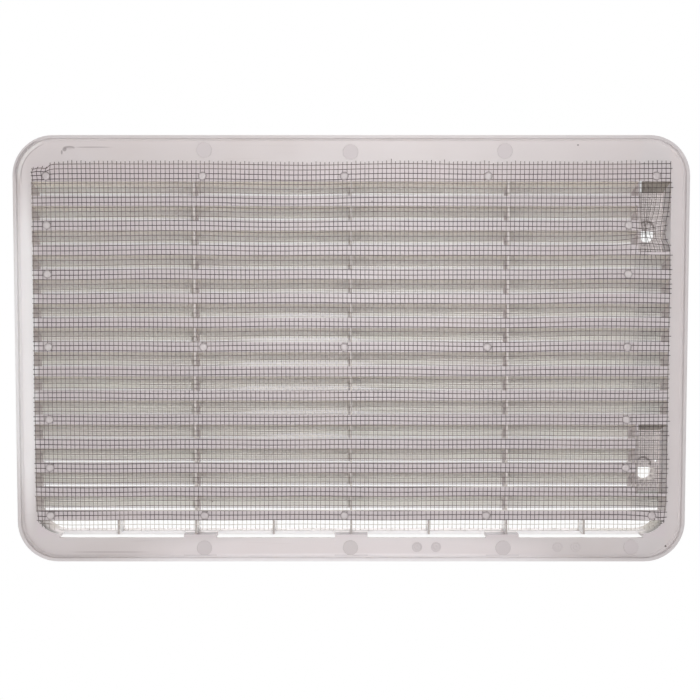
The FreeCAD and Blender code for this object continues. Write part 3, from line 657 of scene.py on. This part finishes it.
def satin_skin(tree, place):
    """The skin's bumps, as a normal: the fine grain, and over it the slow waves."""
    grain = cloudy(tree, place, 0.7 * MM, 2.0)
    waves = cloudy(tree, place, 28 * MM, 1.0)
    fine = add_node(tree, "ShaderNodeBump", None,
                    {"Height": grain, "Strength": 0.18, "Distance": 0.05 * MM}).outputs[0]
    return add_node(tree, "ShaderNodeBump", None,
                    {"Height": waves, "Strength": 0.5, "Distance": 0.35 * MM, "Normal": fine}).outputs[0]


def moulded_abs(name, white, film=1.0, dullness=0.44, through=0.45):
    """Soiled white ABS. film says how much of the louvres' dirt and of the painted light and shade it
    takes, dullness is its middle roughness, and through says how much of its light comes from inside it:
    none on a skin too thin to hold any. Without film, on small raised pieces, the steep faces round the
    edge are darker instead."""
    material = new_material(name)
    tree = material.node_tree
    place = add_node(tree, "ShaderNodeTexCoord").outputs["Object"]
    axes = add_node(tree, "ShaderNodeSeparateXYZ", None, {"Vector": place}).outputs
    facing = add_node(tree, "ShaderNodeNewGeometry").outputs["Normal"]
    faces = add_node(tree, "ShaderNodeSeparateXYZ", None, {"Vector": facing}).outputs
    to_side = add_node(tree, "ShaderNodeMath", {"operation": "ABSOLUTE"}, {0: axes[0]}).outputs[0]
    inside = smooth_share(tree, axes[1], RIM_DEPTH + WEB_WALL * 0.2, RIM_DEPTH + WEB_WALL * 0.8)

    clouds = cloudy(tree, place, 90 * MM)
    patches = cloudy(tree, place, 25 * MM, 5.0, (3.0, 1.0, 1.0))
    patchy = add_node(tree, "ShaderNodeMapRange", None,
                      {"Value": patches, "From Min": 0.25, "From Max": 0.75,
                       "To Min": 0.55, "To Max": 1.0}).outputs[0]
    colour = tint(tree, smooth_share(tree, clouds, 0.35, 0.75), linear(white), linear(ABS_WARM))
    covered = times(tree, smooth_share(tree, to_side, FIELD_HALF + 1.5 * MM, FIELD_HALF - 3 * MM),
                    band(tree, axes[2], SILL_TOP + 1 * MM, FIELD_TOP + 9 * MM, 6 * MM), film)
    colour = tint(tree, covered, colour, linear(ABS_UNDER_CLOTH))
    colour = hood_film_and_glow(tree, place, axes, faces, inside, times(tree, patchy, film), colour)
    colour = loose_dirt(tree, place, faces, inside, clouds, film, colour)
    if film > 0:
        colour = flange_marks_and_light(tree, place, axes, colour)
        colour = pan_marks_and_light(tree, place, axes, faces, to_side, inside, colour)
        colour = pocket_marks_and_light(tree, place, axes, faces, inside, colour)
    else:
        steep = smooth_share(tree, faces[1], -0.92, -0.55)
        colour = tint(tree, times(tree, steep, 0.7), colour, linear(STEEP_GREY))

    if through > 0:
        plates = band(tree, axes[0], POCKET_LEFT + 0.3 * MM, FIELD_HALF - 0.6 * MM, 0.2 * MM)
        through = add_node(tree, "ShaderNodeMapRange", None,
                           {"Value": plates, "To Min": through, "To Max": 0.0}).outputs[0]
    rough = add_node(tree, "ShaderNodeMapRange", None,
                     {"Value": patches, "To Min": dullness - 0.06, "To Max": dullness + 0.12}).outputs[0]
    shader = add_node(tree, "ShaderNodeBsdfPrincipled", None,
                      {"Base Color": colour, "Roughness": rough, "IOR": ABS_IOR,
                       "Normal": satin_skin(tree, place), "Subsurface Weight": through,
                       "Subsurface Radius": (1.0, 0.97, 0.92), "Subsurface Scale": 4.0 * MM})
    add_node(tree, "ShaderNodeOutputMaterial", None, {"Surface": shader.outputs[0]})
    return material


soiled_painted_light_abs = moulded_abs("soiled_and_painted_light_abs", ABS_WHITE)
panel.data.materials.clear()
panel.data.materials.append(soiled_painted_light_abs)
print("material on the moulding:", panel.data.materials[0].name)

# %% [markdown]
# ## Making meshes from whole arrays
#
# The wires cross eleven thousand times, so nothing here is placed one by one.
# A shape is a function on a grid: numpy works out all its points at once, and
# foreach_set hands them to Blender in one go.

# %% Mesh helpers
def make_piece(name, points, face_sets, material, slot, smooth=True):
    """A finished piece in the frame: points in metres, and arrays of faces, each array
    with as many columns as its faces have corners."""
    mesh = bpy.data.meshes.new(name)
    corners = np.concatenate([faces.ravel() for faces in face_sets])
    counts = np.concatenate([np.full(len(faces), faces.shape[1]) for faces in face_sets])
    starts = np.concatenate([[0], np.cumsum(counts)[:-1]])
    mesh.vertices.add(len(points))
    mesh.vertices.foreach_set("co", points.astype(np.float32).ravel())
    mesh.loops.add(len(corners))
    mesh.loops.foreach_set("vertex_index", corners.astype(np.int32))
    mesh.polygons.add(len(counts))
    mesh.polygons.foreach_set("loop_start", starts.astype(np.int32))
    mesh.polygons.foreach_set("use_smooth", np.full(len(counts), smooth))
    mesh.update(calc_edges=True)
    mesh.validate()
    mesh.materials.append(material)
    piece = bpy.data.objects.new(name, mesh)
    bpy.context.scene.collection.objects.link(piece)
    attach(piece, "root")
    triangles = int((counts - 2).sum())
    print(f"{name}: {len(points)} points, {triangles} triangles")
    return piece


def tubes(paths, radius, sides=6):
    """Round wires along many paths at once: at each point of a path stands a ring, radius
    times (cosine of the angle along one normal plus sine along the other), and each ring
    is joined to the next by four-sided faces. The ends are flat."""
    along = np.gradient(paths, axis=1)
    along /= np.linalg.norm(along, axis=2, keepdims=True)
    level = np.cross(along, np.array([0.0, 1.0, 0.0]))
    level /= np.linalg.norm(level, axis=2, keepdims=True)
    upright = np.cross(level, along)
    angle = np.arange(sides) * 2 * np.pi / sides
    ring = (np.cos(angle)[:, None] * level[:, :, None, :] + np.sin(angle)[:, None] * upright[:, :, None, :])
    reach = np.broadcast_to(np.asarray(radius, float), paths.shape[:2])[:, :, None, None]
    points = paths[:, :, None, :] + reach * ring
    index = np.arange(points.size // 3).reshape(points.shape[:3])
    beside = np.roll(index, -1, axis=2)
    sides_of = [index[:, :-1], index[:, 1:], beside[:, 1:], beside[:, :-1]]
    quads = np.stack(sides_of, axis=-1).reshape(-1, 4)
    caps = np.concatenate([index[:, 0], index[:, -1, ::-1]])
    return points.reshape(-1, 3), [quads, caps]


def turned(centres, profile, wobble=0.0, segments=24, seed=1):
    """Round bodies that stand on the upright plane at each centre and rise towards us: a
    profile of radius and rise is turned about an axis along Y. wobble makes each outline
    uneven by two slow waves round it. A point on the axis closes each end."""
    dice = np.random.default_rng(seed)
    centres = np.asarray(centres, float)
    radius, rise = (np.asarray(profile, float) * MM).T
    angle = np.arange(segments) * 2 * np.pi / segments
    phase = dice.uniform(0, 2 * np.pi, (2, len(centres), 1))
    uneven = 1 + wobble * (np.sin(2 * angle + phase[0]) + 0.6 * np.sin(3 * angle + phase[1]))
    out = radius[None, :, None] * uneven[:, None, :]
    x = centres[:, 0, None, None] + out * np.cos(angle)
    z = centres[:, 2, None, None] + out * np.sin(angle)
    y = np.broadcast_to(centres[:, 1, None, None] - rise[None, :, None], x.shape)
    rings = np.stack([x, y, z], axis=-1)
    poles = centres[:, None, :] - np.array([0.0, 1.0, 0.0]) * np.array([rise[0], rise[-1]])[:, None]
    index = np.arange(rings.size // 3).reshape(rings.shape[:3])
    beside = np.roll(index, -1, axis=2)
    sides_of = [index[:, :-1], beside[:, :-1], beside[:, 1:], index[:, 1:]]
    quads = np.stack(sides_of, axis=-1).reshape(-1, 4)
    pole = index.size + np.arange(2 * len(centres)).reshape(-1, 2)
    foot_pole, crown_pole = (np.broadcast_to(end[:, None], beside[:, 0].shape) for end in pole.T)
    foot = np.stack([foot_pole, beside[:, 0], index[:, 0]], axis=-1)
    crown = np.stack([index[:, -1], beside[:, -1], crown_pole], axis=-1)
    points = np.concatenate([rings.reshape(-1, 3), poles.reshape(-1, 3)])
    return points, [quads, np.concatenate([foot, crown]).reshape(-1, 3)]


# %% [markdown]
# ## How the cloth lies
#
# Wire cloth is stiff but never quite flat or square. The stakes hold it at
# points, so between them its lines wander by a millimetre or so. At the upper
# latch pocket nothing backs it: there it is pushed into the pocket and its
# cut edge is drawn in, which crowds the upright wires together. Both sets of
# wires read one field of shifts, so they still cross where they should.

# %% Field of shifts
CLOTH_PLANE = 4.55 * MM
POCKET_PULL = 3.8 * MM
PULL_ABOVE = 21 * MM
PULL_BELOW = 5 * MM
PULL_MIDDLE = seen_at(665, 238, RIM_DEPTH)[1]
POCKET_PUSH = 4.0 * MM
PUSH_MIDDLE = (219 * MM, PULL_MIDDLE + 8 * MM)
CRUMPLE = seen_at(38, 163, RIM_DEPTH)
CRUMPLE_HALF = 7.5 * MM
CRUMPLE_DROP = 15 * MM
# The middle's x and z, the strength, and the reach.
PINCHES = (
    (seen_at(646, 234, RIM_DEPTH + 3 * MM), 0.80, 7 * MM),
    (seen_at(43, 521, RIM_DEPTH), 0.50, 5 * MM),
    (seen_at(659, 521, RIM_DEPTH), 0.60, 6 * MM),
)


def bell(value, middle, reach):
    """One at the middle, and falling off smoothly on both sides over the reach."""
    return np.exp(-((value - middle) / reach) ** 2)


def wander(x, z, amount, seed):
    """Irregular slow waves: the sum of six sines with random lengths from 45 to 300 mm,
    random slants and random starts, scaled so that the whole is about amount."""
    dice = np.random.default_rng(seed)
    waves = 0.0
    for length, slant, start in dice.uniform((0.045, -1, 0), (0.300, 1, 2 * np.pi), (6, 3)):
        waves = waves + np.sin(2 * np.pi * (x * math.cos(slant) + z * math.sin(slant)) / length + start)
    return amount * waves / math.sqrt(3)


def cloth_shift(x, z):
    """How far the cloth strays from a flat square grid, as shifts along x, y and z: slow
    random waves, a pull towards -X that grows into the upper pocket and ends sharply
    below its middle, a push towards +Y there, a crumpled upper left corner that is
    pressed down towards its stake, and small places where the wires are pinched together
    round a middle."""
    across = wander(z, x, 0.22 * MM, 5)
    along = wander(x, z, 0.32 * MM, 8)
    into = np.clip((x - POCKET_LEFT + 2 * MM) / (screen_high[0] - POCKET_LEFT + 2 * MM), 0, 1.2)
    pulled = np.where(z > PULL_MIDDLE, bell(z, PULL_MIDDLE, PULL_ABOVE), bell(z, PULL_MIDDLE, PULL_BELOW))
    across = across - POCKET_PULL * pulled * into ** 0.9
    along = along + 1.3 * MM * np.sin((z - PULL_MIDDLE) / (6 * MM) + 30 * x) * pulled * into
    depth = POCKET_PUSH * bell(z, PUSH_MIDDLE[1], 16 * MM) * bell(x, PUSH_MIDDLE[0], 8 * MM)
    beside = np.exp(-(np.abs(x - CRUMPLE[0]) / CRUMPLE_HALF) ** 4)
    above = np.clip((z - CRUMPLE[1] + CRUMPLE_DROP) / CRUMPLE_DROP, 0, 1.4) ** 1.5
    pressed = beside * above
    along = along - (3.4 * MM + 0.8 * MM * np.sin(x / (1.6 * MM))) * pressed
    across = across + 0.9 * MM * np.sin(z / (2.1 * MM)) * pressed
    for (middle_x, middle_z), strength, reach in PINCHES:
        upright = bell(x, middle_x, reach) * bell(z, middle_z, 2 * reach)
        level = bell(x, middle_x, 2 * reach) * bell(z, middle_z, reach)
        across = across - strength * upright * (x - middle_x)
        along = along - strength * level * (z - middle_z)
    return across, depth, along


print("pull at the edge, mm:", np.round(np.array(cloth_shift(screen_high[0], PULL_MIDDLE)) / MM, 2))

# %% [markdown]
# ## The wires' finish
#
# The cloth is drawn steel wire, once bright. Years of damp dulled it, so its roughness is about a half,
# fine pits break up what is left of its shine, and it is only partly bare metal. Dust pales it. Away from
# the webs it is painted lighter, as painted light, so that it looks darkest where it lies in a web's shade.
# It is painted almost white, a painted glare of the bright light behind it, at the lower slits, the window
# and the open latch hole, and over the patch of painted glare on the lips.

# %% Drawn steel wire
WIRE_DUST = "8A7F74"
WIRE_LIT_OFF_WEB = "A59B94"
WIRE_GLARE_WHITE = "E0DAD2"
OPEN_HOLE = (645.5, 473, 4.5, 8.5, 8.0)


def drawn_wire(name, dark, worn_through):
    """Dull drawn steel: two tones mixed by clouds 11 mm wide, and over them the dust, the painted light off
    the webs and the painted glare, each a share worked out from the height in a louvre and from x."""
    material = new_material(name)
    tree = material.node_tree
    place = add_node(tree, "ShaderNodeTexCoord").outputs["Object"]
    x, _, z = add_node(tree, "ShaderNodeSeparateXYZ", None, {"Vector": place}).outputs
    middle = band(tree, x, -FIELD_HALF + 14 * MM, FIELD_HALF - 8 * MM, 6 * MM)
    marking_share = cloudy(tree, place, 11 * MM, 4.0)
    dusty = smooth_share(tree, cloudy(tree, place, 45 * MM, 4.0), 0.5, 0.72)
    colour = tint(tree, smooth_share(tree, marking_share, 0.4, 0.65), linear(dark), linear(worn_through))
    colour = tint(tree, times(tree, dusty, 0.45), colour, linear(WIRE_DUST))
    step = louvre_step(tree, z)
    web_start = 1 - WEB_HEIGHT / PITCH
    off_web = times(tree, smooth_share(tree, step, web_start + 0.02, web_start - 0.04),
                    smooth_share(tree, x, POCKET_LEFT, POCKET_LEFT - 3 * MM))
    # Painted light: the wires are paler away from the webs' shade.
    colour = tint(tree, times(tree, off_web, 0.35), colour, linear(WIRE_LIT_OFF_WEB))
    # Painted glare: the wires turn almost white where bright light shines behind them.
    slit_glare = times(tree, band(tree, step, web_start - 0.10, web_start - 0.01, 0.02),
                    smooth_share(tree, z, -20 * MM, -90 * MM))
    lip_glare = times(tree, oval(tree, place, *LIP_GLARE_PATCH, 1.0),
                   band(tree, step, web_start - 0.16, web_start, 0.02))
    window = smooth_share(tree, z, LAST_WEB + 0.3 * MM, LAST_WEB - 0.3 * MM)
    hole = oval(tree, place, *OPEN_HOLE, 1.0)
    for share, strength in ((slit_glare, 0.85), (lip_glare, 0.65), (window, 0.70), (hole, 0.92)):
        colour = tint(tree, times(tree, share, middle, strength), colour, linear(WIRE_GLARE_WHITE))
    pits = cloudy(tree, place, 0.5 * MM, 2.0)
    relief = add_node(tree, "ShaderNodeBump", None,
                      {"Height": pits, "Strength": 0.3, "Distance": 0.05 * MM}).outputs[0]
    rough = add_node(tree, "ShaderNodeMapRange", None,
                     {"Value": marking_share, "To Min": 0.42, "To Max": 0.68}).outputs[0]
    shader = add_node(tree, "ShaderNodeBsdfPrincipled", None,
                      {"Base Color": colour, "Metallic": 0.55, "Roughness": rough, "Normal": relief})
    add_node(tree, "ShaderNodeOutputMaterial", None, {"Surface": shader.outputs[0]})
    return material


upright_wire = drawn_wire("dull_drawn_steel_warp", "4E4544", "665C5A")
level_wire = drawn_wire("dull_drawn_steel_weft", "3B3334", "4E4544")
print("wire materials:", upright_wire.name, level_wire.name)

# %% [markdown]
# ## Cutting the cloth
#
# The cloth has 8 upright wires to the inch, 0.38 mm thick, and level ones 3.42 mm
# apart, 0.46 mm thick. Its outline was cut with shears, so the ends are uneven: no
# wire ends exactly where its neighbour does. Where the edges lie is read off the
# photograph, and each wire gets a small random offset before it is drawn.

# %% The cut cloth
WARP_PITCH = 3.175 * MM
WEFT_PITCH = 3.42 * MM
CUT_TOP = seen_at(300, 161.3, CLOTH_PLANE)[1]
CUT_FOOT = seen_at(300, 529.6, CLOTH_PLANE)[1]
CUT_LEFT = seen_at(32.6, 300, CLOTH_PLANE)[0]
CUT_RIGHT = seen_at(672.0, 190, CLOTH_PLANE)[0]
CUT_CORNER = 9.0 * MM
FIRST_WARP, LAST_WARP = CUT_LEFT + 0.9 * MM, CUT_RIGHT - 0.6 * MM
FIRST_WEFT, LAST_WEFT = seen_at(300, 164.3, CLOTH_PLANE)[1], CUT_FOOT + 0.6 * MM
WARP_SCATTER, WEFT_SCATTER = 0.10 * MM, 0.16 * MM
TOP_SCATTER, FOOT_SCATTER = 0.35 * MM, 0.45 * MM
LEFT_SCATTER, RIGHT_SCATTER = 0.25 * MM, 0.50 * MM


def corner_inset(beside, radius):
    """How much a round lower corner shortens a wire that lies beside from the edge: the
    radius, less the root of its square less the square of the way left to the round's
    middle."""
    left = np.clip(radius - beside, 0, radius)
    return radius - np.sqrt(radius ** 2 - left ** 2)


dice = np.random.default_rng(11)
warp_x = np.arange(FIRST_WARP, LAST_WARP, WARP_PITCH)
warp_x = warp_x + dice.normal(0, WARP_SCATTER, len(warp_x))
weft_z = np.arange(FIRST_WEFT, LAST_WEFT, -WEFT_PITCH)
weft_z = weft_z + dice.normal(0, WEFT_SCATTER, len(weft_z))
warp_inset = corner_inset(np.minimum(warp_x - CUT_LEFT, CUT_RIGHT - warp_x), CUT_CORNER)
warp_top = CUT_TOP + dice.normal(0, TOP_SCATTER, len(warp_x))
warp_foot = CUT_FOOT + warp_inset + dice.normal(0, FOOT_SCATTER, len(warp_x))
weft_inset = corner_inset(weft_z - CUT_FOOT, CUT_CORNER)
weft_left = CUT_LEFT + weft_inset + dice.normal(0, LEFT_SCATTER, len(weft_z))
weft_right = CUT_RIGHT - weft_inset + dice.normal(0, RIGHT_SCATTER, len(weft_z))
print("wires:", len(warp_x), "upright and", len(weft_z), "level")
print("cloth, mm:", round((CUT_RIGHT - CUT_LEFT) / MM, 1), "by", round((CUT_TOP - CUT_FOOT) / MM, 1))

# %% [markdown]
# ## Weaving
#
# Plain weave: each wire goes over one neighbour and under the next, and the
# other set does the opposite. A wire therefore needs only one point at each
# crossing, a fifth of a millimetre to this side or that of the cloth's plane.

# %% Warp and weft
WARP_RADIUS = 0.19 * MM
WEFT_RADIUS = 0.23 * MM
CRIMP = 0.20 * MM
LEAST_STEP = 0.02 * MM


def woven(fixed, starts, ends, crossings, upright):
    """Paths of one set of wires, as an array of wires by points by xyz: each runs from its
    start through every crossing that lies inside it to its end, and swings to one side
    and the other of the cloth's plane from crossing to crossing. The crossings outside it
    are drawn in to its ends, where a least step, spread over the points, keeps them apart."""
    between = np.broadcast_to(crossings, (len(fixed), len(crossings)))
    nodes = np.concatenate([starts[:, None], between, ends[:, None]], axis=1)
    low, high = np.minimum(starts, ends)[:, None], np.maximum(starts, ends)[:, None]
    spread = np.linspace(0, 1, nodes.shape[1])[None, :] * LEAST_STEP
    nodes = np.clip(nodes, low, high) + spread * np.sign(ends - starts)[:, None]
    still = np.broadcast_to(fixed[:, None], nodes.shape)
    x, z = (still, nodes) if upright else (nodes, still)
    across, depth, along = cloth_shift(x, z)
    parity = (np.arange(len(fixed))[:, None] + np.arange(nodes.shape[1])[None, :]) % 2
    side = (2 * parity - 1) * (CRIMP if upright else -CRIMP)
    return np.stack([x + across, CLOTH_PLANE + depth + side, z + along], axis=-1)


warp_paths = woven(warp_x, warp_top, warp_foot, weft_z, upright=True)
weft_paths = woven(weft_z, weft_left, weft_right, warp_x, upright=False)

screen_warp = make_piece("screen_warp_wires", *tubes(warp_paths, WARP_RADIUS), upright_wire, "woven_wire")
screen_weft = make_piece("screen_weft_wires", *tubes(weft_paths, WEFT_RADIUS), level_wire, "woven_wire")
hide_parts("insect_screen")
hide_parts("insect_screen")

# %% [markdown]
# ## The melted heads
#
# The cloth is held by stakes of the moulding that were pushed through it and
# melted down with a hot tool. Each came out as an uneven button, thickest near
# its rim and with a dimple where the tool lifted off. Turning one profile about
# its axis gives the button, and two slow waves round the rim make each its own.

# %% Heads on the stakes
LEFT_STAKES = -FIELD_HALF + 10.9 * MM
RIGHT_STAKES = FIELD_HALF - 10.9 * MM
POCKET_STAKES = POCKET_LEFT - 9.0 * MM
RIB_STAKES = (-106.5 * MM, -5.0 * MM, 98.0 * MM)
# A row of stakes stands on the web at that louvre's foot, counted from the top, and
# row 0 on the plate above the first louvre.
STAKE_ROWS = {
    0: (LEFT_STAKES, *RIB_STAKES, RIGHT_STAKES),
    2: (LEFT_STAKES, POCKET_STAKES),
    4: (LEFT_STAKES, POCKET_STAKES),
    7: (LEFT_STAKES, *RIB_STAKES, POCKET_STAKES),
    10: (LEFT_STAKES, POCKET_STAKES),
    12: (LEFT_STAKES, POCKET_STAKES),
    14: (LEFT_STAKES, *RIB_STAKES, RIGHT_STAKES),
}
HEAD_FOOT = 4.30 * MM
# Radius and rise in millimetres, from the foot to the dimple.
HEAD_PROFILE = [(2.30, 0.00), (2.90, 0.05), (3.04, 0.20), (3.00, 0.42), (2.72, 0.80), (2.25, 1.12),
                (1.70, 1.36), (1.15, 1.44), (0.70, 1.40), (0.30, 1.34)]

head_places = [(x, HEAD_FOOT, FIELD_TOP - row * PITCH + WEB_HEIGHT / 2)
               for row, columns in STAKE_ROWS.items() for x in columns]
melted_abs = moulded_abs("melted_abs_heads", "C8BFC0", film=0.0, dullness=0.40, through=0.15)
make_piece("stake_heads", *turned(head_places, HEAD_PROFILE, wobble=0.02), melted_abs, "moulded_abs")
print("heads:", len(head_places))

# %% [markdown]
# ## Marks of the mould
#
# Round pins push a moulding out of its mould and leave a faint disc each, about a
# hundredth of its width proud of the flange. Four small rings between them are the
# places of stamps, and they are left bare. Both kinds are profiles turned about an
# axis, as the heads are. Their plastic is a little duller, as the pins are steel
# without the mould's satin face.

# %% Pin marks and rings
PIN_PIXELS = ((204, 150), (350.5, 152), (505, 151), (204.5, 548), (350.5, 547.7), (503, 548), (631, 547))
RING_PIXELS = ((417, 547), (436, 547), (557.5, 547), (575.7, 547))
# Radius and rise in millimetres, from inside the plate to the middle.
PIN_PROFILE = [(5.45, -0.10), (5.45, 0.06), (5.30, 0.12), (4.90, 0.10), (2.00, 0.10)]
RING_PROFILE = [(3.60, -0.10), (3.60, 0.05), (3.50, 0.10), (3.20, 0.10), (3.10, 0.03), (1.60, 0.03),
                (1.50, 0.08), (1.20, 0.08), (1.10, 0.03), (0.40, 0.03)]


def on_flange(pixels):
    """Places on the plate's back face where the photograph shows the given pixels."""
    seen = [seen_at(column, row, RIM_DEPTH) for column, row in pixels]
    return [(x, RIM_DEPTH, z) for x, z in seen]


marked_abs = moulded_abs("pin_marked_abs", "D1C9CA", film=0.0, dullness=0.55, through=0.0)
make_piece("ejector_pin_marks", *turned(on_flange(PIN_PIXELS), PIN_PROFILE, segments=48),
           marked_abs, "moulded_abs")
make_piece("bare_mould_rings", *turned(on_flange(RING_PIXELS), RING_PROFILE, segments=40),
           marked_abs, "moulded_abs")

# %% [markdown]
# ## The size
#
# The dressed object has to stay inside the CAD model's box, so both boxes are
# kept side by side in a small file.

# %% Sizes
visual_low, visual_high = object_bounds()
grown = np.maximum(np.array(cad_low) - np.array(visual_low), np.array(visual_high) - np.array(cad_high))
print("grown beyond the CAD box, mm:", np.round(np.maximum(grown, 0) / MM, 2).tolist())
